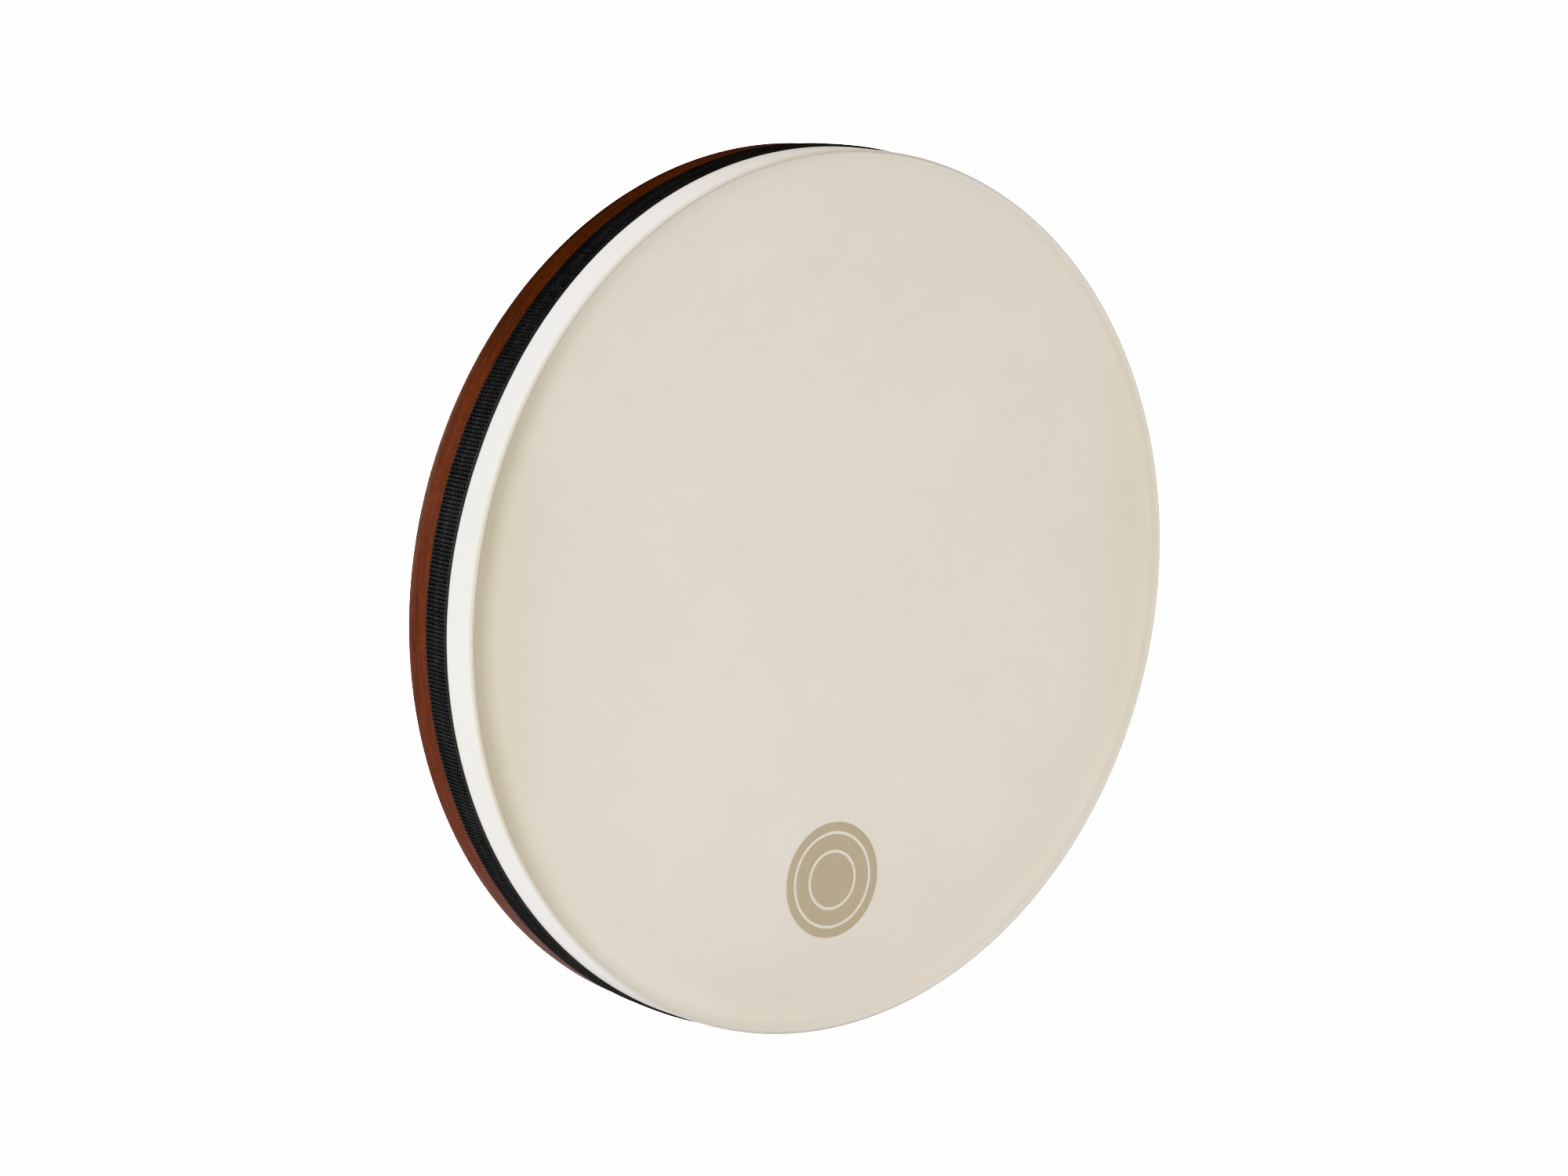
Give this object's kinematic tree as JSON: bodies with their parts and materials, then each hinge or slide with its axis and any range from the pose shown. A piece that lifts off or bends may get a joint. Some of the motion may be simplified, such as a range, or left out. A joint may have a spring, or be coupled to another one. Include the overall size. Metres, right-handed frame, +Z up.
{
  "type": "frame drum",
  "caption": "Shallow round frame drum: a bent-wood shell with a formed film head, a woven binding tape round its side and an open back.",
  "frame": {"origin": "lowest point of the binding tape at the drum's mid-depth, where a hand holds the drum upright by its rim", "axes": "the drum's axis runs along Y and its head faces -Y; +Z is up, with the printed mark at the bottom of the head; +X is to the right as seen from the front"},
  "size_m": [0.5114, 0.0604, 0.5114],
  "materials": {
    "stained_wood": "reddish-brown stain under a satin lacquer, fine grain running round the shell",
    "core_wood": "stained edge, cross grain",
    "inner_wood": "reddish-brown stain, matte",
    "wood_glue": "thin dark line of set wood glue",
    "film_adhesive": "thin set contact adhesive",
    "head_film": "cream coated polyester film, matte with a soft sheen",
    "print_ink": "flat beige screen-printed ink",
    "woven_tape": "black woven webbing with a coarse plain weave"
  },
  "bodies": {
    "root": {"outer_ply": "stained_wood", "core_ply": "core_wood", "inner_ply": "inner_wood", "outer_glue_line": "wood_glue", "inner_glue_line": "wood_glue", "scarf_glue": "wood_glue", "head_adhesive": "film_adhesive", "drum_head": "head_film", "head_print": "print_ink", "tape_adhesive": "film_adhesive", "binding_tape": "woven_tape"}
  },
  "joints": []
}
